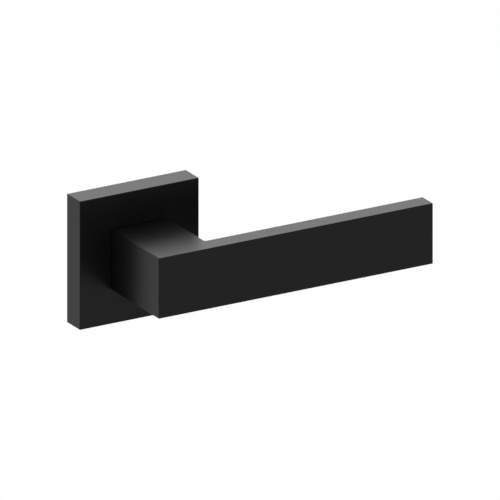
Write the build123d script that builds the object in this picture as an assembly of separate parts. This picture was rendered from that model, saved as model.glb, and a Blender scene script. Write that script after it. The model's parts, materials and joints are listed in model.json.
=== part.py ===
from build123d import *
import math
import os

# A door lever handle on a square sprung rose: one side of a set, as fitted to one face of a door.
# Millimetres. +Z is up, +X runs along the lever and -Y points out of the door. The origin is
# where the spindle's axis crosses the door's face.
#
# Each piece is drawn in door coordinates: X along the lever, Y up the door and Z out of the
# door, so a low or high value is a distance from the door's face. STAND then stands it up.

# ---- Outside sizes ----
ROSE_SIDE = 52.0
ROSE_DEPTH = 9.8
NECK_SIDE = 24.5
LEVER_OUT = 46.0  # door face to the front of the grip
GRIP_THICK = 7.8
LEVER_REACH = 107.5  # spindle axis to the tip of the grip
NECK_CLEAR = 0.4  # neck's shoulder to the rose's front
EDGE_R = 0.25  # rounding of the crisp outer edges
NECK_CORNER_R = 1.0  # inner corner between neck and grip

# ---- Gaps ----
RUNNING_GAP = 0.05  # radial, between the hub and its bush
FIT_GAP = 0.02  # between pieces pressed or screwed together
LOOSE_GAP = 0.1  # between pieces that only lie beside each other
STOP_GAP = 0.05  # between the driver's tail and what stops it

# ---- Spindle and what turns with it ----
SPINDLE_SIDE = 8.0
SPINDLE_HOLE = 8.1
SPINDLE_CORNER_R = 0.4
SPINDLE_END_BEVEL = 0.3
SPINDLE_INTO_DOOR = 35.0
SPINDLE_INTO_NECK = 25.0
HUB_R = 8.5  # journal that runs in the rose
HUB_END = 3.3
HUB_BEVEL = 0.3
HUB_SPIGOT_R = 8.0  # part pressed in the neck
HUB_SPIGOT_LENGTH = 26.7
NECK_BORE_DEPTH = 27.0
GRUB_R = 3.0
GRUB_LENGTH = 7.6
GRUB_OUT = 19.0
GRUB_BEVEL = 0.5
GRUB_SOCKET = 3.0  # across flats
GRUB_SOCKET_DEPTH = 3.2
GRUB_MOUTH = 0.4  # countersink of its hole

# ---- Rose cover and the ring in its hole ----
COVER_SIDE_WALL = 1.3
COVER_FRONT_WALL = 1.2
COVER_POCKET_R = 0.6
COVER_HOLE_R = 10.4
PRY_SLOT_WIDTH = 8.0
PRY_SLOT_DEPTH = 1.0
RING_FLANGE_THICK = 0.5
RING_BORE_R = 8.75

# ---- Base plate, with its spring chamber open to the door ----
BASE_SIDE = 48.8
BASE_CORNER_R = 1.0
BASE_FRONT = 8.4
CHAMBER_ROOF = 7.4
CHAMBER_R = 14.1
TOWER_R = 11.2
TOWER_END = 3.1
BUSH_R = 10.0
BUSH_END = 3.2
BUSH_FLANGE_THICK = 0.6
FLANGE_R = 10.95
BACK_PLATE_SIDE = 46.8
BACK_PLATE_CORNER_R = 1.0
BACK_PLATE_THICK = 1.0
BACK_PLATE_HOLE_R = 7.6

# ---- Driver, which the spindle turns against the spring ----
TURN_LIMIT = 45.0  # degrees, down from level
DRIVER_BACK = 1.5
DRIVER_FRONT = 3.0
DRIVER_R = 11.0
DRIVER_BOSS_R = 7.0
DRIVER_BOSS_END = -1.5  # it reaches into the door's spindle hole
ARM_HALF_WIDTH = 2.5
TAIL_REACH = 18.0
FINGER_HALF_WIDTH = 1.5
FINGER_INNER = 17.2
FINGER_OUTER = 19.2
FINGER_TOP = 7.1
WASHER_INNER_R = 7.8
WASHER_OUTER_R = 10.6
WASHER_THICK = 0.25

# ---- Return spring and the fixed post between its legs ----
WIRE_D = 1.3
COIL_R = 13.0  # to the wire's centre
COIL_LOW = 3.85
COIL_HIGH = 6.65
COIL_TURNS = 2
LEG_REACH = 19.4
POST_INNER = 15.0
POST_OUTER = 16.8
SPRING_POCKET_HALF = 3.6
SPRING_POCKET_R = 20.2

# ---- Stops ----
BUFFER_THICK = 2.0
BUFFER_INNER = 14.6
BUFFER_OUTER = 18.3
TAIL_POCKET_R = 18.6
TAIL_POCKET_ROOF = 3.2
PIN_R = 1.5
PIN_BEVEL = 0.2
PIN_DOWN = 16.3
PIN_TOP = 7.0

# ---- Fasteners ----
BOLT_CENTRES = 38.0
BOLT_POST_R = 3.8
BOLT_STUD_R = 3.7
BOLT_STUD_LENGTH = 4.0
BOLT_FLANGE_R = 4.7
BOLT_FLANGE_THICK = 1.2
BOLT_THREAD_R = 1.65  # tapping bore of an M4 thread
WOOD_SCREW_CENTRES = 37.0
WOOD_SCREW_HOLE_R = 2.1
WOOD_SCREW_HEAD_R = 4.1
PLATE_HOLE_SLACK = 0.2  # round the screws that pass through the back plate
PLATE_SCREW_ACROSS = 11.5
PLATE_SCREW_UP = 20.2
PLATE_SCREW_R = 1.2
PLATE_SCREW_TIP = 6.3
PLATE_SCREW_HOLE_END = 6.7
PLATE_SCREW_HEAD_R = 2.3
PLATE_SCREW_SUNK = 0.1
RECESS_HALF_LENGTH = 1.3
RECESS_HALF_WIDTH = 0.3
RECESS_DEPTH = 0.6

# ---- Cover clips and their seats in the base's edge ----
CLIP_HALF = 6.5
CLIP_THICK = 0.4
CLIP_CREST = 24.95  # from the axis; it snaps in a groove of the cover
CLIP_LOW = 2.4
CLIP_HIGH = 5.6
CLIP_PLAY = 0.3
CLIP_SEAT = 23.2
CLIP_SEAT_HALF = 7.0
CLIP_GROOVE_HALF = 6.0

# ---- Worked out from the above ----
SHOULDER = ROSE_DEPTH + NECK_CLEAR
GRIP_BACK = LEVER_OUT - GRIP_THICK
NECK_HALF = NECK_SIDE / 2
BASE_HALF = BASE_SIDE / 2
COVER_POCKET = ROSE_SIDE / 2 - COVER_SIDE_WALL
COVER_CEILING = ROSE_DEPTH - COVER_FRONT_WALL
RING_LOW = COVER_CEILING - FIT_GAP - RING_FLANGE_THICK
LEG_OFFSET = FINGER_HALF_WIDTH + WIRE_D / 2 + FIT_GAP
PIN_ACROSS = ARM_HALF_WIDTH + STOP_GAP + PIN_R
TAIL_POCKET_HALF = ARM_HALF_WIDTH + STOP_GAP + BUFFER_THICK
BOLTS = [(-BOLT_CENTRES / 2, 0), (BOLT_CENTRES / 2, 0)]


def four(across, up):
    """The four points across and up from the spindle's axis."""
    return [(x, y) for x in (-across, across) for y in (-up, up)]


PLATE_SCREWS = four(PLATE_SCREW_ACROSS, PLATE_SCREW_UP)
WOOD_SCREWS = four(WOOD_SCREW_CENTRES / 2, WOOD_SCREW_CENTRES / 2)

STAND = Plane(origin=(0, 0, 0), x_dir=(1, 0, 0), z_dir=(0, -1, 0)).location


# ---- Drawing aids, all in door coordinates ----
def rod(radius, low, high, x=0, y=0):
    """A cylinder whose axis points out of the door."""
    return Pos(x, y, (low + high) / 2) * Cylinder(radius, high - low)


def cone(low_radius, high_radius, low, high, x=0, y=0):
    return Pos(x, y, (low + high) / 2) * Cone(low_radius, high_radius, high - low)


def block(x_low, x_high, y_low, y_high, low, high):
    centre = Pos((x_low + x_high) / 2, (y_low + y_high) / 2, (low + high) / 2)
    return centre * Box(x_high - x_low, y_high - y_low, high - low)


def square_bar(side, low, high, corner=0.0):
    """A square bar on the spindle's axis, its four long corners rounded if asked."""
    outline = RectangleRounded(side, side, corner) if corner else Rectangle(side, side)
    return extrude(Pos(0, 0, low) * outline, high - low)


def save(name, *solids):
    """Writes one node, a single solid or a group of separate ones."""
    placed = [STAND * solid for solid in solids]
    shape = placed[0] if len(placed) == 1 else Compound(children=placed)
    export_step(shape, f"parts/{name}.step")


# ---- Pieces that turn with the lever ----
def uprights(body, wanted):
    """Edges up the door, chosen by how far they lie from the inner corner of neck and grip."""
    corner = (NECK_HALF, GRIP_BACK)
    return [edge for edge in body.edges().filter_by(Axis.Y)
            if wanted(math.dist((edge.center().X, edge.center().Z), corner))]


def grub_hole():
    """The tapped hole from the neck's underside to the spindle."""
    turned_down = Pos(0, -NECK_HALF / 2, GRUB_OUT) * Rot(90, 0, 0)
    return turned_down * Cylinder(GRUB_R, NECK_HALF)


def lever_handle():
    """Square neck and flat grip in one casting, bored from behind for its hub."""
    neck = block(-NECK_HALF, NECK_HALF, -NECK_HALF, NECK_HALF, SHOULDER, LEVER_OUT)
    grip = block(-NECK_HALF, LEVER_REACH, -NECK_HALF, NECK_HALF, GRIP_BACK, LEVER_OUT)
    body = neck + grip
    body = fillet(uprights(body, lambda away: away < EDGE_R), NECK_CORNER_R)
    top_and_bottom = body.faces().sort_by(Axis.Y)
    outline = top_and_bottom[0].edges() + top_and_bottom[-1].edges()
    body = fillet(outline + uprights(body, lambda away: away > 2 * NECK_CORNER_R), EDGE_R)
    body -= rod(HUB_SPIGOT_R + FIT_GAP, SHOULDER, SHOULDER + NECK_BORE_DEPTH)
    mouth = Pos(0, GRUB_MOUTH / 2 - NECK_HALF, GRUB_OUT) * Rot(90, 0, 0)
    return body - grub_hole() - mouth * Cone(GRUB_R, GRUB_R + GRUB_MOUTH, GRUB_MOUTH)


def lever_hub():
    """Turned hub: a spigot pressed in the neck and a journal that runs in the rose's bush."""
    hub = rod(HUB_R, HUB_END, SHOULDER) + rod(HUB_SPIGOT_R, SHOULDER, SHOULDER + HUB_SPIGOT_LENGTH)
    hub = chamfer(hub.edges().filter_by(GeomType.CIRCLE).sort_by(Axis.Z)[0], HUB_BEVEL)
    hub -= square_bar(SPINDLE_HOLE, HUB_END, SHOULDER + HUB_SPIGOT_LENGTH)
    return hub - grub_hole()


def grub_screw():
    """Hexagon socket grub screw, its point on the spindle and its socket facing down."""
    screw = Cylinder(GRUB_R - FIT_GAP, GRUB_LENGTH)
    screw = chamfer(screw.edges().filter_by(GeomType.CIRCLE), GRUB_BEVEL)
    hexagon = RegularPolygon(GRUB_SOCKET / 2, 6, major_radius=False)
    socket = extrude(hexagon, GRUB_SOCKET_DEPTH)
    screw -= Pos(0, 0, GRUB_LENGTH / 2 - GRUB_SOCKET_DEPTH) * socket
    middle = -SPINDLE_SIDE / 2 - GRUB_LENGTH / 2
    return Pos(0, middle, GRUB_OUT) * Rot(90, 0, 0) * screw


def spindle():
    """Square bar that carries the turning into the lock's follower."""
    bar = square_bar(SPINDLE_SIDE, -SPINDLE_INTO_DOOR, SPINDLE_INTO_NECK, SPINDLE_CORNER_R)
    ends = bar.faces().sort_by(Axis.Z)
    return chamfer(ends[0].edges() + ends[-1].edges(), SPINDLE_END_BEVEL)


def spring_driver():
    """Disc on the spindle with a finger between the spring's legs and a tail between the stops."""
    disc = rod(DRIVER_R, DRIVER_BACK, DRIVER_FRONT)
    arms = block(-ARM_HALF_WIDTH, ARM_HALF_WIDTH, -TAIL_REACH, FINGER_OUTER,
                 DRIVER_BACK, DRIVER_FRONT)
    finger = block(-FINGER_HALF_WIDTH, FINGER_HALF_WIDTH, FINGER_INNER, FINGER_OUTER,
                   DRIVER_BACK, FINGER_TOP)
    boss = rod(DRIVER_BOSS_R, DRIVER_BOSS_END, DRIVER_BACK)
    driver = disc + arms + finger + boss
    return driver - square_bar(SPINDLE_HOLE, DRIVER_BOSS_END, DRIVER_FRONT)


# ---- Pieces fixed to the door ----
def rose_cover():
    """Square cap over the mechanism, pressed on over the clips."""
    cap = square_bar(ROSE_SIDE, 0, ROSE_DEPTH)
    front = cap.faces().sort_by(Axis.Z)[-1]
    cap = fillet(front.edges() + cap.edges().filter_by(Axis.Z), EDGE_R)
    cap -= square_bar(2 * COVER_POCKET, 0, COVER_CEILING, COVER_POCKET_R)
    cap -= rod(COVER_HOLE_R, COVER_CEILING, ROSE_DEPTH)
    groove = CLIP_CREST + FIT_GAP
    cap -= block(-CLIP_GROOVE_HALF, CLIP_GROOVE_HALF, -groove, groove,
                 CLIP_LOW - CLIP_PLAY, CLIP_HIGH + CLIP_PLAY)
    return cap - block(-PRY_SLOT_WIDTH / 2, PRY_SLOT_WIDTH / 2, -ROSE_SIDE / 2, -COVER_POCKET,
                       0, PRY_SLOT_DEPTH)


def cover_ring():
    """Nylon ring that lines the cover's hole, under the neck's shoulder."""
    flange = rod(FLANGE_R, RING_LOW, RING_LOW + RING_FLANGE_THICK)
    sleeve = rod(COVER_HOLE_R - LOOSE_GAP, RING_LOW, SHOULDER - LOOSE_GAP)
    return flange + sleeve - rod(RING_BORE_R, RING_LOW, SHOULDER)


def lever_bush():
    """Flanged nylon bearing for the hub."""
    front = CHAMBER_ROOF + BUSH_FLANGE_THICK
    body = rod(BUSH_R - FIT_GAP, BUSH_END, front)
    flange = rod(FLANGE_R, CHAMBER_ROOF, front)
    return body + flange - rod(HUB_R + RUNNING_GAP, BUSH_END, front)


def swing_pocket(reach, half_width, direction):
    """Outline of a pocket for an arm that swings TURN_LIMIT each way from up (1) or down (-1)."""
    outline = Sketch()
    for angle in (-TURN_LIMIT, TURN_LIMIT):
        lane = Pos(0, direction * reach / 2) * Rectangle(2 * half_width, reach)
        outline += Rot(0, 0, angle) * lane
    far = 2 * direction * reach
    side = far * math.tan(math.radians(TURN_LIMIT))
    wedge = make_face(Polyline((0, 0), (side, far), (-side, far), close=True))
    return outline + (wedge & Circle(reach))


def cut_from_behind(outline, roof):
    return extrude(Pos(0, 0, BACK_PLATE_THICK) * outline, roof - BACK_PLATE_THICK)


def clip_seat(side):
    """Seat of a cover clip in the base's upper (1) or lower (-1) edge."""
    seat = block(-CLIP_SEAT_HALF, CLIP_SEAT_HALF, CLIP_SEAT, BASE_HALF,
                 CLIP_LOW - LOOSE_GAP, CLIP_HIGH + LOOSE_GAP)
    return seat if side > 0 else mirror(seat, about=Plane.XZ)


def base_plate():
    """Cast body of the rose, with the spring chamber behind and the bearing tower in its middle."""
    base = square_bar(BASE_SIDE, 0, BASE_FRONT, BASE_CORNER_R)
    base -= square_bar(BACK_PLATE_SIDE + 2 * LOOSE_GAP, 0, BACK_PLATE_THICK, BACK_PLATE_CORNER_R)
    base -= cut_from_behind(Circle(CHAMBER_R), CHAMBER_ROOF)
    base -= cut_from_behind(swing_pocket(SPRING_POCKET_R, SPRING_POCKET_HALF, 1), CHAMBER_ROOF)
    base -= cut_from_behind(swing_pocket(TAIL_POCKET_R, TAIL_POCKET_HALF, -1), TAIL_POCKET_ROOF)
    base += rod(TOWER_R, TOWER_END, CHAMBER_ROOF)
    base += block(-FINGER_HALF_WIDTH, FINGER_HALF_WIDTH, POST_INNER, POST_OUTER,
                  COIL_LOW - WIRE_D / 2, CHAMBER_ROOF)
    base -= rod(BUSH_R, TOWER_END, BASE_FRONT)
    base -= rod(FLANGE_R + LOOSE_GAP, CHAMBER_ROOF, BASE_FRONT)
    sink_low = BASE_FRONT - (WOOD_SCREW_HEAD_R - WOOD_SCREW_HOLE_R)
    for x, y in WOOD_SCREWS:
        base -= rod(WOOD_SCREW_HOLE_R, BACK_PLATE_THICK, BASE_FRONT, x, y)
        base -= cone(WOOD_SCREW_HOLE_R, WOOD_SCREW_HEAD_R, sink_low, BASE_FRONT, x, y)
    for x, y in BOLTS:
        base -= rod(BOLT_POST_R + FIT_GAP, BACK_PLATE_THICK, BASE_FRONT, x, y)
        base -= rod(BOLT_FLANGE_R + LOOSE_GAP, BASE_FRONT - BOLT_FLANGE_THICK, BASE_FRONT, x, y)
    for x, y in PLATE_SCREWS:
        base -= rod(PLATE_SCREW_R + FIT_GAP, BACK_PLATE_THICK, PLATE_SCREW_HOLE_END, x, y)
    for side in (-1, 1):
        base -= rod(PIN_R + FIT_GAP, TAIL_POCKET_ROOF, PIN_TOP, side * PIN_ACROSS, -PIN_DOWN)
        base -= clip_seat(side)
    return base


def back_plate():
    """Steel sheet that closes the spring chamber and lies on the door."""
    plate = square_bar(BACK_PLATE_SIDE, 0, BACK_PLATE_THICK, BACK_PLATE_CORNER_R)
    plate -= rod(BACK_PLATE_HOLE_R, 0, BACK_PLATE_THICK)
    for x, y in BOLTS:
        plate -= rod(BOLT_POST_R + LOOSE_GAP, 0, BACK_PLATE_THICK, x, y)
    for x, y in WOOD_SCREWS:
        plate -= rod(WOOD_SCREW_HOLE_R + PLATE_HOLE_SLACK, 0, BACK_PLATE_THICK, x, y)
    for x, y in PLATE_SCREWS:
        plate -= cone(PLATE_SCREW_HEAD_R + PLATE_HOLE_SLACK, PLATE_SCREW_R + PLATE_HOLE_SLACK,
                      0, BACK_PLATE_THICK, x, y)
    return plate


def dished_washer():
    """Thin cone-shaped spring washer that keeps the driver from rattling on the back plate."""
    low = BACK_PLATE_THICK + FIT_GAP
    high = DRIVER_BACK - FIT_GAP
    outline = Polyline((WASHER_INNER_R, low), (WASHER_INNER_R, low + WASHER_THICK),
                       (WASHER_OUTER_R, high), (WASHER_OUTER_R, high - WASHER_THICK), close=True)
    return revolve(Plane.XZ * make_face(outline), Axis.Z)


def return_spring():
    """Two-legged torsion spring whose legs squeeze the base's post and the driver's finger."""
    lean = math.degrees(math.asin(LEG_OFFSET / COIL_R))
    turns = COIL_TURNS + 2 * lean / 360
    rise = COIL_HIGH - COIL_LOW
    path = Pos(0, 0, COIL_LOW) * Rot(0, 0, 90 - lean) * Helix(rise / turns, rise, COIL_R)
    section = Plane(origin=path @ 0, z_dir=path % 0) * Circle(WIRE_D / 2)
    spring = sweep(section, path, is_frenet=True)
    leg_start = math.sqrt(COIL_R ** 2 - LEG_OFFSET ** 2)
    leg = Rot(90, 0, 0) * Cylinder(WIRE_D / 2, LEG_REACH - leg_start)
    for side, out in ((1, COIL_LOW), (-1, COIL_HIGH)):
        spring += Pos(side * LEG_OFFSET, (leg_start + LEG_REACH) / 2, out) * leg
        spring += Pos(side * LEG_OFFSET, leg_start, out) * Sphere(WIRE_D / 2)
    return spring


def handing_pin():
    """Pin in one of two holes beside the driver's tail: it stops the lever level, for this hand."""
    pin = rod(PIN_R, BACK_PLATE_THICK + STOP_GAP, PIN_TOP, PIN_ACROSS, -PIN_DOWN)
    return chamfer(pin.edges().filter_by(GeomType.CIRCLE), PIN_BEVEL)


def stop_buffer(side):
    """Rubber block that ends the driver's travel quietly, on the left (-1) or the right (1)."""
    pad = block(ARM_HALF_WIDTH + STOP_GAP, TAIL_POCKET_HALF, -BUFFER_OUTER, -BUFFER_INNER,
                BACK_PLATE_THICK + STOP_GAP, TAIL_POCKET_ROOF)
    pad = Rot(0, 0, TURN_LIMIT) * pad
    return pad if side > 0 else mirror(pad, about=Plane.YZ)


def plate_screw(x, y):
    """Small countersunk screw with a cross recess, which holds the back plate."""
    head = cone(PLATE_SCREW_HEAD_R, PLATE_SCREW_R, PLATE_SCREW_SUNK, BACK_PLATE_THICK)
    screw = head + rod(PLATE_SCREW_R, BACK_PLATE_THICK, PLATE_SCREW_TIP)
    bar = block(-RECESS_HALF_LENGTH, RECESS_HALF_LENGTH, -RECESS_HALF_WIDTH, RECESS_HALF_WIDTH,
                PLATE_SCREW_SUNK, PLATE_SCREW_SUNK + RECESS_DEPTH)
    return Pos(x, y) * (screw - (bar + Rot(0, 0, 90) * bar))


def bolt_post(x):
    """Steel sleeve, tapped M4, for a bolt that comes through the door from the other side."""
    sleeve = rod(BOLT_POST_R, 0, BASE_FRONT, x)
    sleeve += rod(BOLT_FLANGE_R, BASE_FRONT - BOLT_FLANGE_THICK, BASE_FRONT, x)
    sleeve += rod(BOLT_STUD_R, -BOLT_STUD_LENGTH, 0, x)
    return sleeve - rod(BOLT_THREAD_R, -BOLT_STUD_LENGTH, BASE_FRONT, x)


def cover_clip(side):
    """Bowed leaf spring in the base's upper (1) or lower (-1) edge, for the cover to snap over."""
    ends = CLIP_SEAT + CLIP_THICK
    outer = ThreePointArc((-CLIP_HALF, ends), (0, CLIP_CREST), (CLIP_HALF, ends))
    inner = ThreePointArc((CLIP_HALF, CLIP_SEAT), (0, CLIP_CREST - CLIP_THICK),
                          (-CLIP_HALF, CLIP_SEAT))
    outline = make_face([outer, Line(outer @ 1, inner @ 0), inner, Line(inner @ 1, outer @ 0)])
    leaf = extrude(Pos(0, 0, CLIP_LOW) * outline, CLIP_HIGH - CLIP_LOW)
    return leaf if side > 0 else mirror(leaf, about=Plane.XZ)


os.makedirs("parts", exist_ok=True)

save("lever_handle", lever_handle())
save("lever_hub", lever_hub())
save("grub_screw", grub_screw())
save("spindle", spindle())
save("spring_driver", spring_driver())

save("rose_cover", rose_cover())
save("cover_ring", cover_ring())
save("lever_bush", lever_bush())
save("base_plate", base_plate())
save("back_plate", back_plate())
save("dished_washer", dished_washer())
save("return_spring", return_spring())
save("handing_pin", handing_pin())
save("left_stop_buffer", stop_buffer(-1))
save("right_stop_buffer", stop_buffer(1))
save("plate_screws", *[plate_screw(x, y) for x, y in PLATE_SCREWS])
save("left_bolt_post", bolt_post(-BOLT_CENTRES / 2))
save("right_bolt_post", bolt_post(BOLT_CENTRES / 2))
save("upper_cover_clip", cover_clip(1))
save("lower_cover_clip", cover_clip(-1))
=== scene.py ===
import json
import math

import bmesh
import bpy
from mathutils import Matrix, Vector


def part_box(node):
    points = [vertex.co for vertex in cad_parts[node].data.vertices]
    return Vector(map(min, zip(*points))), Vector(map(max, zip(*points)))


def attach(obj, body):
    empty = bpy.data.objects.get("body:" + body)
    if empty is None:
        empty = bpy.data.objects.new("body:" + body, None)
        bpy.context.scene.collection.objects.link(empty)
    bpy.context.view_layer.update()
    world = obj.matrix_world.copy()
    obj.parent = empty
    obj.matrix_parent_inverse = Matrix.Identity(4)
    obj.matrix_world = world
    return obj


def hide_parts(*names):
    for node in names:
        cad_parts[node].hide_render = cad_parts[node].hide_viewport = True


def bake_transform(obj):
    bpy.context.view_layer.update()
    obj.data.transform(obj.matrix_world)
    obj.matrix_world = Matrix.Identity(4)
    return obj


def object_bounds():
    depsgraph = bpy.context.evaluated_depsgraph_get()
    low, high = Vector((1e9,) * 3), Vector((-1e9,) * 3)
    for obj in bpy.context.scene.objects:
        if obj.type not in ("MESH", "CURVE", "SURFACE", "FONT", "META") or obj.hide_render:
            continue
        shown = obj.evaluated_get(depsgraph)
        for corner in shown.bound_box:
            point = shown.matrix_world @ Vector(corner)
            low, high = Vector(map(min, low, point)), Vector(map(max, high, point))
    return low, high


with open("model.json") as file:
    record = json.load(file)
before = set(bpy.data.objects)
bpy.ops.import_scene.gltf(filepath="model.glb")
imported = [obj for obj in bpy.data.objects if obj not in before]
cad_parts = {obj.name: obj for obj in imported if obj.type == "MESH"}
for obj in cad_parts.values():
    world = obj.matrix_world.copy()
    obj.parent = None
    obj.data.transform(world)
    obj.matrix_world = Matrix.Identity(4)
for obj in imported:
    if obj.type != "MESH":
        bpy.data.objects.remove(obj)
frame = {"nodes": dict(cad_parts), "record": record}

# Pieces are drawn in door coordinates, as the CAD's are: x along the lever, y up the door and z
# out of the door, so a z is a distance from the door's face. STAND turns them to the frame's axes.
CAD_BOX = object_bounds()
NODES = frame["nodes"]
MM = 0.001
STAND = Matrix.Rotation(math.radians(90), 4, "X")

# ---- The view: parallel, as through a very long lens ----
VIEW_AZIMUTH = math.radians(-29.82)
VIEW_ELEVATION = math.radians(20.59)
VIEW_WIDTH = 189.46 * MM
VIEW_DISTANCE = 1.2
VIEW_REACH = 100  # how far the camera sees: past the floor's corners
AIM_DROP = 1.6 * MM  # how far the view is moved down, in the picture's own plane

# ---- The studio: a dim white room, two softboxes behind the handle and a weak one in front ----
ROOM = 0.27
SOFTBOXES = [  # the direction of each, and its brightness in its middle
    ((1, 1, 1), 2.22),
    ((-1, 1, 0), 0.79),
    ((1, -1, -1), 0.2),
]
SOFTBOX_FALL = 12  # how fast their light fades from the middle
FLOOR_BELOW = 120 * MM  # its distance under the handle
FLOOR_HALF = 6.0  # half its side

# ---- How the patterns of the materials are cut ----
CLOUD_LOW, CLOUD_HIGH = 0.3, 0.7  # nearly all of Blender's noise is between these
SPECK_RIM, SPECK_CORE = 0.5, 0.1  # distances from a speck's middle, in cells
SPECK_FAINT = 0.1  # share of the specks that aren't at full strength
BEVEL_SAMPLES = 6
BEVEL_FLAT, BEVEL_CORNER = 0.99, 0.8  # cosines of how far the bevel turns the normal there
MIX_SOCKETS = {"FLOAT": (2, 3, 0), "RGBA": (6, 7, 2)}  # a Mix node's first, second and result

# ---- Sizes that the nodes' boxes don't give: the CAD's, and those of details it leaves out ----
GRIP_THICK = 7.8 * MM
EDGE_R = 0.25 * MM
NECK_CORNER_R = 1.0 * MM
BORE_R = 8.02 * MM
BORE_DEPTH = 27 * MM
BORE_BEVEL = 0.3 * MM
GRUB_HOLE_R = 3.0 * MM
GRUB_MOUTH = 0.4 * MM
GRUB_PITCH = 1.0 * MM
GRUB_SOCKET = 3.0 * MM  # across flats
GRUB_SOCKET_DEPTH = 3.2 * MM
GRUB_SOCKET_RIM = 0.1 * MM
GRUB_SOCKET_MOUTH = 1.2  # its width at the end, as a share of the socket's
GRUB_DRILL_CONE = 0.4  # depth of the drilled bottom, as a share of its radius
GRUB_CUP = 0.6  # the cup's radius, as a share of the thread's root
GRUB_CUP_DEPTH = 0.5  # as a share of the cup's radius
POST_BORE_R = 1.65 * MM
POST_THREAD_R = 2.0 * MM
POST_PITCH = 0.7 * MM
POST_STUD_R = 3.7 * MM
POST_R = 3.8 * MM
POST_FLANGE = 1.2 * MM
POST_BEVEL = 0.3 * MM
PLATE_THICK = 1.0 * MM
SCREW_R = 1.2 * MM
SCREW_ROOT_R = 0.9 * MM
SCREW_HEAD_R = 2.3 * MM
SCREW_PITCH = 0.8 * MM
SCREW_RIM = 0.12 * MM
SCREW_TURN, SCREW_TURN_MORE = 12, 29  # degrees: how the first stands, and each one after it
RECESS_TOP = (1.35 * MM, 0.32 * MM, -0.1 * MM)  # an arm's reach, half its width, how deep
RECESS_BOTTOM = (0.6 * MM, 0.2 * MM, 0.75 * MM)
WIRE_R = 0.65 * MM
COIL_R = 13.0 * MM
COIL_TURNS = 2
LEG_OFFSET = 2.17 * MM
BEND_R = 1.3 * MM
WIRE_BEVEL = 0.15 * WIRE_R

# ---- A screw thread's section ----
CREST_ENDS = (-1 / 16, 1 / 16)  # where a turn's crest starts and ends, in shares of the pitch
ROOT_ENDS = (3 / 8, 5 / 8)
METRIC_DEPTH = 0.61  # of an outside metric thread, as a share of its pitch

# ---- How finely curves are drawn, in steps to the circle unless it says otherwise ----
BORE_STEPS = 96
GRUB_HOLE_STEPS = 64
METRIC_STEPS = 72
SCREW_STEPS = 36
COIL_STEPS = 60
WIRE_SIDES = 16
CORNER_STEPS = 12  # to the corner
BEND_STEPS = 8  # to the bend

# ---- Where meshes are welded, rounded and shaded ----
WELD = 0.0005 * MM
FLAT_ANGLE = math.radians(0.2)  # faces that meet at less than this become one
ROUND_ANGLE = math.radians(30)  # edges that turn by more than this are rounded
SHARP_ANGLE = math.radians(32)  # edges that turn by more than this look sharp

# The radius that pressing, casting, turning or moulding leaves on each piece's edges.
SOFTENED = {
    "rose_cover": 0.06 * MM,
    "base_plate": 0.12 * MM,
    "handing_pin": 0.1 * MM,
    "back_plate": 0.15 * MM,
    "spring_driver": 0.18 * MM,
    "lever_hub": 0.15 * MM,
    "lever_bush": 0.12 * MM,
    "cover_ring": 0.1 * MM,
    "left_stop_buffer": 0.25 * MM,
    "right_stop_buffer": 0.25 * MM,
    "upper_cover_clip": 0.08 * MM,
    "lower_cover_clip": 0.08 * MM,
}


def between(low, high):
    return (low + high) / 2


# ---- Camera, floor and light ----
def make_camera():
    """Looks at the middle of the lever and the rose from the photograph's side."""
    azimuth, elevation = VIEW_AZIMUTH, VIEW_ELEVATION
    back = Vector((math.sin(azimuth) * math.cos(elevation),
                   -math.cos(azimuth) * math.cos(elevation),
                   math.sin(elevation)))
    turn = (-back).to_track_quat("-Z", "Y")
    lever_low, lever_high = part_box("lever_handle")
    rose_low, rose_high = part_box("rose_cover")
    low = Vector(map(min, lever_low, rose_low))
    high = Vector(map(max, lever_high, rose_high))
    aim = between(low, high) - turn @ Vector((0, AIM_DROP, 0))
    data = bpy.data.cameras.new("camera")
    data.type = "ORTHO"
    data.ortho_scale = VIEW_WIDTH
    data.clip_end = VIEW_REACH
    camera = bpy.data.objects.new("camera", data)
    camera.location = aim + back * VIEW_DISTANCE
    camera.rotation_mode = "QUATERNION"
    camera.rotation_quaternion = turn
    bpy.context.scene.collection.objects.link(camera)
    bpy.context.scene.camera = camera


def make_floor():
    """Plain white floor, seen from above only. It neither lights nor shades the handle."""
    mesh = bpy.data.meshes.new("floor")
    corners = [(-1, -1), (1, -1), (1, 1), (-1, 1)]
    height = CAD_BOX[0].z - FLOOR_BELOW
    mesh.from_pydata([(x * FLOOR_HALF, y * FLOOR_HALF, height) for x, y in corners],
                     [], [(0, 1, 2, 3)])
    floor = bpy.data.objects.new("floor", mesh)
    bpy.context.scene.collection.objects.link(floor)
    material = bpy.data.materials.new("white_floor")
    material.use_nodes = True
    tree = material.node_tree
    tree.nodes.clear()
    white = tree.nodes.new("ShaderNodeEmission")
    clear = tree.nodes.new("ShaderNodeBsdfTransparent")
    mix = tree.nodes.new("ShaderNodeMixShader")
    tree.links.new(tree.nodes.new("ShaderNodeNewGeometry").outputs["Backfacing"], mix.inputs[0])
    tree.links.new(white.outputs[0], mix.inputs[1])
    tree.links.new(clear.outputs[0], mix.inputs[2])
    tree.links.new(mix.outputs[0], tree.nodes.new("ShaderNodeOutputMaterial").inputs["Surface"])
    mesh.materials.append(material)
    floor.visible_glossy = False
    floor.visible_diffuse = False
    floor.visible_shadow = False


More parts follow.
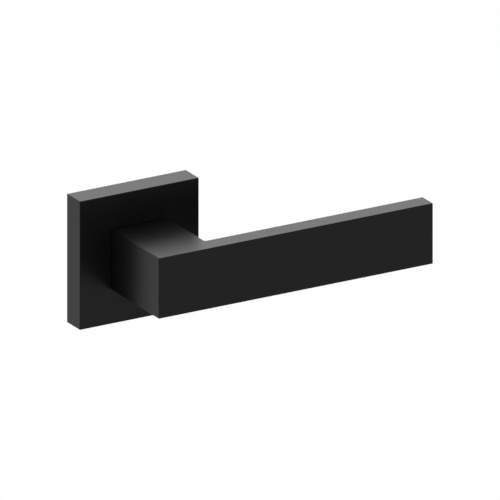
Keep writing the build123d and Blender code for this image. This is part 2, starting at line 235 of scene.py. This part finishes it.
def make_light():
    """White to the camera. As light it is a dim room, with softboxes that fade into it."""
    world = bpy.data.worlds.new("studio")
    bpy.context.scene.world = world
    world.use_nodes = True
    tree = world.node_tree
    tree.nodes.clear()

    def math_node(operation, *values):
        node = tree.nodes.new("ShaderNodeMath")
        node.operation = operation
        for socket, value in zip(node.inputs, values):
            if isinstance(value, bpy.types.NodeSocket):
                tree.links.new(value, socket)
            else:
                socket.default_value = value
        return node.outputs[0]

    direction = tree.nodes.new("ShaderNodeTexCoord").outputs["Generated"]
    total = ROOM
    for middle, brightness in SOFTBOXES:
        facing = tree.nodes.new("ShaderNodeVectorMath")
        facing.operation = "DOT_PRODUCT"
        facing.inputs[1].default_value = Vector(middle).normalized()
        tree.links.new(direction, facing.inputs[0])
        # From 0 opposite the softbox to 1 in its middle.
        nearness = math_node("MULTIPLY_ADD", facing.outputs["Value"], 0.5, 0.5)
        fade = math_node("POWER", nearness, SOFTBOX_FALL)
        total = math_node("MULTIPLY_ADD", fade, brightness, total)

    lighting = tree.nodes.new("ShaderNodeBackground")
    tree.links.new(total, lighting.inputs["Strength"])
    backdrop = tree.nodes.new("ShaderNodeBackground")
    backdrop.inputs["Color"].default_value = (1, 1, 1, 1)
    mix = tree.nodes.new("ShaderNodeMixShader")
    seen = tree.nodes.new("ShaderNodeLightPath")
    tree.links.new(seen.outputs["Is Camera Ray"], mix.inputs["Fac"])
    tree.links.new(lighting.outputs["Background"], mix.inputs[1])
    tree.links.new(backdrop.outputs["Background"], mix.inputs[2])
    tree.links.new(mix.outputs["Shader"], tree.nodes.new("ShaderNodeOutputWorld").inputs["Surface"])


def set_colours():
    """Plain sRGB, so that white stays white and the blacks aren't lifted."""
    view = bpy.context.scene.view_settings
    view.view_transform = "Standard"
    view.look = "None"


# ---- How a material is put together ----
class Finish:
    """One Principled shader, with patterns laid out in the piece's own space, in metres."""

    def __init__(self, slot, metallic, colour, roughness):
        self.material = bpy.data.materials.new(slot + "_finish")
        self.material.use_nodes = True
        self.tree = self.material.node_tree
        self.shader = self.tree.nodes["Principled BSDF"]
        self.shader.inputs["Metallic"].default_value = metallic
        self.shader.inputs["Base Color"].default_value = (*colour, 1)
        self.shader.inputs["Roughness"].default_value = roughness
        self.place = self.tree.nodes.new("ShaderNodeTexCoord").outputs["Object"]

    def node(self, kind, inputs, **settings):
        """A node with its settings; its inputs are linked to sockets or set to values."""
        node = self.tree.nodes.new("ShaderNode" + kind)
        for name, value in settings.items():
            setattr(node, name, value)
        for name, value in inputs.items():
            if isinstance(value, bpy.types.NodeSocket):
                self.tree.links.new(value, node.inputs[name])
            else:
                node.inputs[name].default_value = value
        return node

    def stretch(self, pattern, low, high):
        """The part of a pattern between low and high, spread over 0 to 1."""
        ranged = {"Value": pattern, "From Min": low, "From Max": high}
        return self.node("MapRange", ranged).outputs["Result"]

    def cloud(self, size, along=(1, 1, 1), detail=2.0):
        """Cloudy pattern whose spots are about this size, drawn out by a factor on each axis."""
        squeezed = {0: self.place, 1: [1 / factor for factor in along]}
        place = self.node("VectorMath", squeezed, operation="MULTIPLY").outputs["Vector"]
        noise = self.node("TexNoise", {"Vector": place, "Scale": 1 / size, "Detail": detail})
        return self.stretch(noise.outputs["Fac"], CLOUD_LOW, CLOUD_HIGH)

    def specks(self, size, share):
        """Round specks of about this size, 1 in their middles, in a share of the cells."""
        cells = {"Vector": self.place, "Scale": 1 / size}
        found = self.node("TexVoronoi", cells)
        full = 1 - (1 - SPECK_FAINT) * share
        chosen = self.stretch(found.outputs["Color"], 1 - share, full)
        near = self.stretch(found.outputs["Distance"], SPECK_RIM, SPECK_CORE)
        return self.node("Math", {0: chosen, 1: near}, operation="MULTIPLY").outputs[0]

    def lathe_marks(self, pitch):
        """Rings on the ends and lines round the sides, about the piece's own Y axis."""
        flat = self.node("VectorMath", {0: self.place, 1: (1, 0, 1)}, operation="MULTIPLY")
        radius = self.node("VectorMath", {0: flat.outputs["Vector"]}, operation="LENGTH")
        height = self.node("SeparateXYZ", {0: self.place}).outputs["Y"]
        place = self.node("CombineXYZ", {"X": radius.outputs["Value"], "Y": height})
        noise = {"Vector": place.outputs["Vector"], "Scale": 1 / pitch, "Detail": 2.0}
        return self.stretch(self.node("TexNoise", noise).outputs["Fac"], CLOUD_LOW, CLOUD_HIGH)

    def edges(self, width):
        """1 along the corners, fading to 0 over this width on the flat faces beside them."""
        rounded = self.node("Bevel", {"Radius": width}, samples=BEVEL_SAMPLES)
        plain = self.node("NewGeometry", {})
        both = {0: rounded.outputs["Normal"], 1: plain.outputs["Normal"]}
        agree = self.node("VectorMath", both, operation="DOT_PRODUCT")
        return self.stretch(agree.outputs["Value"], BEVEL_FLAT, BEVEL_CORNER)

    def colour_by(self, pattern, colour):
        """Turns the base colour to this one where the pattern is 1."""
        self.mix_in("Base Color", "RGBA", pattern, (*colour, 1))

    def roughness_by(self, pattern, roughness):
        """Turns the roughness to this value where the pattern is 1."""
        self.mix_in("Roughness", "FLOAT", pattern, roughness)

    def mix_in(self, name, kind, pattern, value):
        """Mixes what the shader's socket has, a link or a value, with a new value."""
        socket = self.shader.inputs[name]
        mixed = self.node("Mix", {0: pattern}, data_type=kind)
        first, second, result = MIX_SOCKETS[kind]
        if socket.is_linked:
            self.tree.links.new(socket.links[0].from_socket, mixed.inputs[first])
        else:
            mixed.inputs[first].default_value = socket.default_value
        mixed.inputs[second].default_value = value
        self.tree.links.new(mixed.outputs[result], socket)

    def emboss(self, pattern, depth):
        """Raises the surface by this depth where the pattern is 1."""
        bump = self.node("Bump", {"Height": pattern, "Distance": depth})
        normal = self.shader.inputs["Normal"]
        if normal.is_linked:
            self.tree.links.new(normal.links[0].from_socket, bump.inputs["Normal"])
        self.tree.links.new(bump.outputs["Normal"], normal)


# ---- Materials, one for each slot of the record ----
def black_coated_metal(slot):
    """Satin powder coat: a fine grain, faint orange peel, glossier at the edges, with a painted
    highlight along them.
    """
    finish = Finish(slot, 0.0, (0.0115, 0.0115, 0.0115), 0.30)
    finish.colour_by(finish.cloud(14 * MM), (0.013, 0.013, 0.013))
    finish.roughness_by(finish.cloud(9 * MM), 0.315)
    edge = finish.edges(0.35 * MM)
    # The lighter colour along the edges is a painted highlight; the lower roughness there is the
    # coat's own.
    finish.colour_by(edge, (0.022, 0.022, 0.022))
    finish.roughness_by(edge, 0.26)
    finish.emboss(finish.cloud(1.6 * MM), 0.006 * MM)
    finish.emboss(finish.cloud(0.3 * MM, detail=3.0), 0.0035 * MM)
    return finish.material


def cast_zinc(slot):
    """Die-cast zinc: dull grey, with flow marks, a fine skin and bright rubbed edges."""
    finish = Finish(slot, 1.0, (0.36, 0.37, 0.38), 0.5)
    finish.colour_by(finish.cloud(7 * MM, along=(1, 1, 2.5), detail=4.0), (0.27, 0.28, 0.29))
    finish.colour_by(finish.specks(0.7 * MM, 0.1), (0.23, 0.235, 0.24))
    finish.roughness_by(finish.cloud(2.5 * MM, detail=3.0), 0.62)
    edge = finish.edges(0.3 * MM)
    finish.colour_by(edge, (0.55, 0.56, 0.57))
    finish.roughness_by(edge, 0.35)
    finish.emboss(finish.cloud(0.35 * MM, detail=4.0), 0.012 * MM)
    finish.emboss(finish.cloud(4 * MM), 0.02 * MM)
    return finish.material


def turned_steel(slot):
    """Bright steel from the lathe, with its fine tool marks."""
    finish = Finish(slot, 1.0, (0.5, 0.5, 0.5), 0.24)
    finish.colour_by(finish.cloud(7 * MM, detail=3.0), (0.43, 0.43, 0.44))
    marks = finish.lathe_marks(0.18 * MM)
    finish.roughness_by(marks, 0.34)
    finish.roughness_by(finish.edges(0.2 * MM), 0.18)
    finish.emboss(marks, 0.004 * MM)
    return finish.material


def drawn_steel(slot):
    """Bright drawn bar: streaks along it, a few darker stains, corners burnished by the die."""
    finish = Finish(slot, 1.0, (0.45, 0.45, 0.46), 0.3)
    streaks = finish.cloud(0.16 * MM, along=(1, 60, 1), detail=3.0)
    finish.colour_by(streaks, (0.36, 0.36, 0.37))
    finish.colour_by(finish.stretch(finish.cloud(6 * MM, detail=4.0), 0.7, 1.0), (0.26, 0.25, 0.24))
    finish.roughness_by(streaks, 0.42)
    edge = finish.edges(0.4 * MM)
    finish.colour_by(edge, (0.6, 0.6, 0.61))
    finish.roughness_by(edge, 0.2)
    finish.emboss(streaks, 0.004 * MM)
    return finish.material


def blackened_steel(slot):
    """Black oxide on steel, rubbed grey on its edges."""
    finish = Finish(slot, 1.0, (0.04, 0.04, 0.045), 0.38)
    finish.colour_by(finish.cloud(1.2 * MM, detail=3.0), (0.06, 0.06, 0.07))
    finish.roughness_by(finish.cloud(0.5 * MM), 0.5)
    finish.colour_by(finish.edges(0.12 * MM), (0.2, 0.2, 0.21))
    finish.emboss(finish.cloud(0.15 * MM), 0.002 * MM)
    return finish.material


def pressed_steel(slot):
    """Pressed steel, tumbled: soft dents, dark specks and bright edges."""
    finish = Finish(slot, 1.0, (0.4, 0.41, 0.42), 0.34)
    finish.colour_by(finish.cloud(3 * MM, detail=4.0), (0.31, 0.32, 0.33))
    finish.colour_by(finish.specks(0.5 * MM, 0.08), (0.27, 0.27, 0.28))
    finish.roughness_by(finish.cloud(0.7 * MM, detail=3.0), 0.48)
    edge = finish.edges(0.25 * MM)
    finish.colour_by(edge, (0.58, 0.59, 0.6))
    finish.roughness_by(edge, 0.22)
    finish.emboss(finish.cloud(0.6 * MM, detail=3.0), 0.008 * MM)
    return finish.material


def zinc_plated_sheet(slot):
    """Rolled sheet under bright zinc: rolling lines, a bluish and yellowish bloom, dull spots."""
    finish = Finish(slot, 1.0, (0.55, 0.56, 0.58), 0.27)
    finish.colour_by(finish.cloud(16 * MM, detail=3.0), (0.5, 0.54, 0.62))
    finish.colour_by(finish.stretch(finish.cloud(11 * MM, detail=3.0), 0.5, 1.0), (0.6, 0.57, 0.5))
    finish.colour_by(finish.specks(0.8 * MM, 0.06), (0.46, 0.46, 0.47))
    rolling = finish.cloud(0.14 * MM, along=(70, 1, 1), detail=3.0)
    finish.roughness_by(rolling, 0.38)
    finish.roughness_by(finish.cloud(3.5 * MM, detail=4.0), 0.4)
    finish.roughness_by(finish.edges(0.25 * MM), 0.22)
    finish.emboss(rolling, 0.003 * MM)
    finish.emboss(finish.cloud(0.4 * MM), 0.003 * MM)
    return finish.material


def zinc_plated_steel(slot):
    """Small turned parts under bright zinc."""
    finish = Finish(slot, 1.0, (0.6, 0.6, 0.62), 0.24)
    finish.colour_by(finish.cloud(2.4 * MM, detail=3.0), (0.52, 0.54, 0.6))
    finish.colour_by(finish.stretch(finish.cloud(1.5 * MM, detail=3.0), 0.6, 1.0),
                     (0.56, 0.52, 0.45))
    finish.roughness_by(finish.cloud(0.6 * MM, detail=3.0), 0.38)
    finish.roughness_by(finish.edges(0.12 * MM), 0.18)
    finish.emboss(finish.cloud(0.18 * MM), 0.0025 * MM)
    return finish.material


def spring_steel(slot):
    """Oiled spring steel, blue-grey from tempering."""
    finish = Finish(slot, 1.0, (0.2, 0.2, 0.22), 0.3)
    finish.colour_by(finish.cloud(2.5 * MM, detail=3.0), (0.15, 0.155, 0.18))
    finish.colour_by(finish.stretch(finish.cloud(1.8 * MM), 0.6, 1.0), (0.19, 0.17, 0.15))
    finish.roughness_by(finish.cloud(0.5 * MM, detail=3.0), 0.42)
    finish.colour_by(finish.edges(0.1 * MM), (0.34, 0.34, 0.36))
    finish.emboss(finish.cloud(0.12 * MM), 0.0025 * MM)
    return finish.material


def black_nylon(slot):
    """Moulded nylon with a fine eroded texture."""
    finish = Finish(slot, 0.0, (0.02, 0.02, 0.02), 0.42)
    finish.colour_by(finish.cloud(4 * MM), (0.026, 0.026, 0.027))
    finish.roughness_by(finish.cloud(0.3 * MM), 0.55)
    finish.emboss(finish.cloud(0.12 * MM, detail=3.0), 0.004 * MM)
    return finish.material


def natural_nylon(slot):
    """Undyed nylon, a little yellower in patches, with a slightly uneven gloss."""
    finish = Finish(slot, 0.0, (0.75, 0.73, 0.66), 0.38)
    finish.colour_by(finish.cloud(5 * MM), (0.7, 0.67, 0.58))
    finish.roughness_by(finish.cloud(0.9 * MM, detail=3.0), 0.5)
    finish.emboss(finish.cloud(0.2 * MM, detail=3.0), 0.003 * MM)
    return finish.material


def black_rubber(slot):
    """Matt rubber with a dusty bloom."""
    finish = Finish(slot, 0.0, (0.03, 0.03, 0.03), 0.75)
    finish.colour_by(finish.cloud(1.6 * MM, detail=4.0), (0.045, 0.045, 0.044))
    finish.roughness_by(finish.cloud(0.5 * MM), 0.88)
    finish.emboss(finish.cloud(0.2 * MM, detail=3.0), 0.01 * MM)
    return finish.material


MAKERS = [black_coated_metal, cast_zinc, turned_steel, drawn_steel, blackened_steel, pressed_steel,
          zinc_plated_sheet, zinc_plated_steel, spring_steel, black_nylon, natural_nylon,
          black_rubber]


# ---- Mesh tools ----
def strip(bm, first, second):
    """Faces between two closed loops of corners."""
    for i in range(len(first)):
        bm.faces.new((first[i - 1], first[i], second[i], second[i - 1]))


def round_solid(section, steps):
    """A closed solid round the z axis. Its section at each angle, given in turns from 0 to 1, is
    a closed loop of (radius, z) points; the loops at 0 and 1 may be shifted by a thread's turn."""
    bm = bmesh.new()
    columns = []
    for i in range(steps + 1):
        angle = 2 * math.pi * i / steps
        columns.append([bm.verts.new((r * math.cos(angle), r * math.sin(angle), z))
                        for r, z in section(i / steps)])
    for left, right in zip(columns, columns[1:]):
        strip(bm, left, right)
    bmesh.ops.remove_doubles(bm, verts=bm.verts, dist=WELD)
    on_axis = [edge for edge in bm.edges if not edge.link_faces]
    bmesh.ops.delete(bm, geom=on_axis, context="EDGES")
    bmesh.ops.recalc_face_normals(bm, faces=bm.faces)
    return bm


def thread(turn, pitch, root_r, crest_r, low, high):
    """The (radius, z) points of a screw thread's section at an angle, from low to high. At both
    ends it runs out in a 45 degree bevel to the root, so the same does for a nut's thread if
    root_r is its larger radius."""
    outward = 1 if crest_r > root_r else -1
    turns = math.ceil((high - low) / pitch) + 1
    points = []
    for start in range(-1, turns):
        for share in CREST_ENDS + ROOT_ENDS:
            z = low + (start + share + turn) * pitch
            z = min(max(z, low), high)
            tall = abs(crest_r - root_r) if share in CREST_ENDS else 0
            tall = min(tall, z - low, high - z)
            points.append((root_r + outward * tall, z))
    return points


def arc(x, y, radius, start, end, steps):
    """Points round (x, y), from one angle to another."""
    points = []
    for i in range(steps + 1):
        angle = start + (end - start) * i / steps
        points.append((x + radius * math.cos(angle), y + radius * math.sin(angle)))
    return points


def joined(meshes):
    """One bmesh out of several, each given with the matrix that places it."""
    together = bmesh.new()
    for bm, place in meshes:
        bmesh.ops.transform(bm, matrix=place, verts=bm.verts)
        mesh = bpy.data.meshes.new("part")
        bm.to_mesh(mesh)
        bm.free()
        together.from_mesh(mesh)
        bpy.data.meshes.remove(mesh)
    return together


def make_object(name, bm, place=STAND):
    """An object from a bmesh, whose corners are moved by the matrix."""
    bmesh.ops.transform(bm, matrix=place, verts=bm.verts)
    mesh = bpy.data.meshes.new(name)
    bm.to_mesh(mesh)
    bm.free()
    piece = bpy.data.objects.new(name, mesh)
    bpy.context.scene.collection.objects.link(piece)
    return piece


def freeze(piece):
    """Makes what the modifiers show the piece's own mesh."""
    graph = bpy.context.evaluated_depsgraph_get()
    mesh = bpy.data.meshes.new_from_object(piece.evaluated_get(graph))
    piece.modifiers.clear()
    piece.data = mesh


def cut(piece, cutter, place=STAND):
    """Takes the cutter's shape, a bmesh that the matrix puts in its place, out of the piece."""
    tool = make_object("cutter", cutter, place)
    carve = piece.modifiers.new("cut", "BOOLEAN")
    carve.operation = "DIFFERENCE"
    carve.solver = "EXACT"
    carve.object = tool
    freeze(piece)
    bpy.data.objects.remove(tool)


def round_edges(piece, radius, segments=2):
    """Gives the piece's corners this radius, in as many flats as there are segments."""
    bevel = piece.modifiers.new("edges", "BEVEL")
    bevel.width = radius
    bevel.segments = segments
    bevel.limit_method = "ANGLE"
    bevel.angle_limit = ROUND_ANGLE
    freeze(piece)


def shade(piece):
    """Smooth over curves and crisp at corners, with no slivers left by the cuts."""
    mesh = piece.data
    bm = bmesh.new()
    bm.from_mesh(mesh)
    bmesh.ops.remove_doubles(bm, verts=bm.verts, dist=WELD)
    bm.to_mesh(mesh)
    bm.free()
    for polygon in mesh.polygons:
        polygon.use_smooth = True
    mesh.set_sharp_from_angle(angle=SHARP_ANGLE)
    weighted = piece.modifiers.new("normals", "WEIGHTED_NORMAL")
    weighted.keep_sharp = True
    freeze(piece)


def stand_in(piece, node):
    """Finishes a piece that takes a node's place: its body, its slot and its material."""
    shade(piece)
    slot = SLOT_OF[node]
    piece.data.materials.clear()
    piece.data.materials.append(MATERIALS[slot])
    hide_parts(node)
    if node == "return_spring":
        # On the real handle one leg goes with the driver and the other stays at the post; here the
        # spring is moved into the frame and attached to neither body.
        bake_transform(piece)
    else:
        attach(piece, BODY_OF[node])


# ---- The pieces that are made finer than their nodes ----
def fine_lever_handle():
    """Square neck and flat grip, with the hub's bore in the neck and the grub screw's hole."""
    low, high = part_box("lever_handle")
    half, reach = high.z, high.x
    shoulder, front = -high.y, -low.y
    grip_back = front - GRIP_THICK
    corner = arc(half + NECK_CORNER_R, grip_back - NECK_CORNER_R, NECK_CORNER_R,
                 math.radians(180), math.radians(90), CORNER_STEPS)
    outline = [(-half, front), (-half, shoulder), (half, shoulder)] + corner
    outline += [(reach, grip_back), (reach, front)]
    bm = bmesh.new()
    sides = [[bm.verts.new((x, y, z)) for x, z in outline] for y in (-half, half)]
    for side in sides:
        bm.faces.new(side)
    strip(bm, *sides)
    bmesh.ops.recalc_face_normals(bm, faces=bm.faces)
    piece = make_object("fine_lever_handle", bm)
    round_edges(piece, EDGE_R, segments=4)
    cut(piece, bore_cutter(shoulder))
    cut(piece, grub_hole_cutter(half), grub_place())
    return piece


def bore_cutter(shoulder):
    """The hub's blind bore, with a bevel where it opens in the neck's shoulder."""
    end = shoulder + BORE_DEPTH
    outside = shoulder - BORE_BEVEL
    wide = BORE_R + 2 * BORE_BEVEL
    section = [(0, outside), (wide, outside), (BORE_R, shoulder + BORE_BEVEL), (BORE_R, end),
               (0, end)]
    return round_solid(lambda turn: section, BORE_STEPS)


def grub_hole_cutter(neck_half):
    """The grub screw's hole, from the spindle's axis out through the neck, with a bevel."""
    mouth = GRUB_HOLE_R + 2 * GRUB_MOUTH
    outside = neck_half + GRUB_MOUTH
    section = [(0, 0), (GRUB_HOLE_R, 0), (GRUB_HOLE_R, neck_half - GRUB_MOUTH), (mouth, outside),
               (0, outside)]
    return round_solid(lambda turn: section, GRUB_HOLE_STEPS)


def grub_place():
    """Turns a piece drawn round z to point down from the spindle's axis, where the screw is."""
    low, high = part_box("grub_screw")
    out = between(low.y, high.y)
    return Matrix.Translation((0, out, 0)) @ Matrix.Rotation(math.radians(180), 4, "X")


def fine_grub_screw():
    """M6 thread, hexagon socket with a drilled bottom, and a cup point."""
    low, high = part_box("grub_screw")
    tip, end = -high.z, -low.z
    crest_r = high.x
    root_r = crest_r - METRIC_DEPTH * GRUB_PITCH
    floor = end - GRUB_SOCKET_DEPTH
    half = GRUB_SOCKET / 2
    cup = GRUB_CUP * root_r

    def section(turn):
        off_middle = (turn * 360) % 60 - 30  # degrees from the middle of the hexagon's side
        side = half / math.cos(math.radians(off_middle))
        socket = [(GRUB_SOCKET_MOUTH * half, end), (side, end - GRUB_SOCKET_RIM), (side, floor),
                  (0, floor - GRUB_DRILL_CONE * half)]
        point = [(0, tip + GRUB_CUP_DEPTH * cup), (cup, tip)]
        return thread(turn, GRUB_PITCH, root_r, crest_r, tip, end) + socket + point

    return make_object("fine_grub_screw", round_solid(section, METRIC_STEPS), grub_place())


def fine_bolt_post(node):
    """Turned post with a flange and an M4 thread right through."""
    low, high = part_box(node)
    tip, front = -high.y, -low.y
    flange_r = (high.x - low.x) / 2
    outside = [(flange_r - POST_BEVEL, front), (flange_r, front - POST_BEVEL),
               (flange_r, front - POST_FLANGE), (POST_R, front - POST_FLANGE), (POST_R, 0),
               (POST_STUD_R, 0), (POST_STUD_R, tip + POST_BEVEL), (POST_STUD_R - POST_BEVEL, tip)]

    def section(turn):
        return thread(turn, POST_PITCH, POST_THREAD_R, POST_BORE_R, tip, front) + outside

    place = STAND @ Matrix.Translation((between(low.x, high.x), 0, 0))
    return make_object("fine_" + node, round_solid(section, METRIC_STEPS), place)


def fine_plate_screws():
    """Four thread-forming screws with countersunk heads and cross recesses."""
    low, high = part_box("plate_screws")
    head, tip = -high.y, -low.y
    across, up = high.x - SCREW_HEAD_R, high.z - SCREW_HEAD_R
    screws, recesses = [], []
    corners = [(-across, -up), (across, -up), (-across, up), (across, up)]
    rim = [(SCREW_HEAD_R - SCREW_RIM / 2, head), (SCREW_HEAD_R, head + SCREW_RIM / 2),
           (SCREW_HEAD_R, head + SCREW_RIM)]

    def section(turn):
        spiral = thread(turn, SCREW_PITCH, SCREW_ROOT_R, SCREW_R, PLATE_THICK, tip)
        return spiral + [(0, tip), (0, head)] + rim

    for i, (x, y) in enumerate(corners):
        angle = math.radians(SCREW_TURN + SCREW_TURN_MORE * i)
        place = Matrix.Translation((x, y, 0)) @ Matrix.Rotation(angle, 4, "Z")
        screws.append((round_solid(section, SCREW_STEPS), place))
        recesses.append((cross_recess(head), place))
    piece = make_object("fine_plate_screws", joined(screws))
    cut(piece, joined(recesses))
    return piece


def cross_recess(head):
    """The pit of a cross recess: a cross whose arms taper as they go deeper."""
    bm = bmesh.new()
    loops = []
    for reach, half, z in (RECESS_TOP, RECESS_BOTTOM):
        loop = []
        for quarter in range(4):
            turn = Matrix.Rotation(math.radians(90 * quarter), 3, "Z")
            for x, y in ((reach, -half), (reach, half), (half, half)):
                loop.append(bm.verts.new(turn @ Vector((x, y, head + z))))
        loops.append(loop)
        bm.faces.new(loop)
    strip(bm, *loops)
    bmesh.ops.recalc_face_normals(bm, faces=bm.faces)
    return bm


def fine_return_spring():
    """Torsion spring: turns of wire, with a bend at each end into a leg that points up."""
    low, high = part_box("return_spring")
    near, far = -high.y + WIRE_R, -low.y - WIRE_R
    reach = high.z
    bend_x = LEG_OFFSET - BEND_R
    bend_y = math.sqrt((COIL_R + BEND_R) ** 2 - bend_x ** 2)
    meet = math.atan2(bend_y, bend_x)
    leg = [(LEG_OFFSET, reach), (LEG_OFFSET, between(reach, bend_y))]
    leg += arc(bend_x, bend_y, BEND_R, 0, meet - math.pi, BEND_STEPS)
    start = [(x, y, near) for x, y in leg]
    end = [(-x, y, far) for x, y in reversed(leg)]
    sweep = 2 * math.pi * COIL_TURNS + 2 * (math.pi / 2 - meet)
    steps = COIL_STEPS * COIL_TURNS
    coil = []
    for i in range(1, steps):
        angle = meet + sweep * i / steps
        z = near + (far - near) * i / steps
        coil.append((COIL_R * math.cos(angle), COIL_R * math.sin(angle), z))
    return make_object("fine_return_spring", wire(start + coil + end))


def wire(points):
    """The spring's round wire along points, with a small bevel at its cut ends."""
    points = [Vector(point) for point in points]
    bm = bmesh.new()
    rings = []
    across = Vector((1, 0, 0))
    angles = [2 * math.pi * k / WIRE_SIDES for k in range(WIRE_SIDES)]
    for i, point in enumerate(points):
        ahead = (points[min(i + 1, len(points) - 1)] - points[max(i - 1, 0)]).normalized()
        across = (across - ahead * across.dot(ahead)).normalized()
        over = ahead.cross(across)
        rounds = [(0, WIRE_R)]
        if i == 0:
            rounds = [(0, WIRE_R - WIRE_BEVEL), (WIRE_BEVEL, WIRE_R)]
        if i == len(points) - 1:
            rounds = [(-WIRE_BEVEL, WIRE_R), (0, WIRE_R - WIRE_BEVEL)]
        for shift, r in rounds:
            middle = point + ahead * shift
            rings.append([bm.verts.new(middle + across * (r * math.cos(angle))
                                       + over * (r * math.sin(angle))) for angle in angles])
    for first, second in zip(rings, rings[1:]):
        strip(bm, first, second)
    bm.faces.new(rings[0])
    bm.faces.new(rings[-1])
    bmesh.ops.recalc_face_normals(bm, faces=bm.faces)
    return bm


def softened(node, radius):
    """A copy of the node's solid, with its own middle as its origin and its edges rounded."""
    middle = between(*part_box(node))
    bm = bmesh.new()
    bm.from_mesh(NODES[node].data)
    bmesh.ops.remove_doubles(bm, verts=bm.verts, dist=WELD)
    bmesh.ops.dissolve_limit(bm, angle_limit=FLAT_ANGLE, verts=bm.verts, edges=bm.edges)
    piece = make_object("fine_" + node, bm, Matrix.Translation(-middle))
    piece.location = middle
    packed_normals = piece.data.attributes.get("custom_normal")
    if packed_normals:
        piece.data.attributes.remove(packed_normals)
    round_edges(piece, radius)
    return piece


make_camera()
make_floor()
make_light()
set_colours()

MATERIALS = {make.__name__: make(make.__name__) for make in MAKERS}
SLOT_OF = {row["node"]: row["material_slot"] for row in frame["record"]["subparts"]}
BODY_OF = {node: body for body, nodes in frame["record"]["behaviour"]["bodies"].items()
           for node in nodes}

for name, node in NODES.items():
    for index in range(len(node.data.materials)):
        node.data.materials[index] = MATERIALS[SLOT_OF[name]]

stand_in(fine_lever_handle(), "lever_handle")
stand_in(fine_grub_screw(), "grub_screw")
stand_in(fine_bolt_post("left_bolt_post"), "left_bolt_post")
stand_in(fine_bolt_post("right_bolt_post"), "right_bolt_post")
stand_in(fine_plate_screws(), "plate_screws")
stand_in(fine_return_spring(), "return_spring")
for name, radius in SOFTENED.items():
    stand_in(softened(name, radius), name)
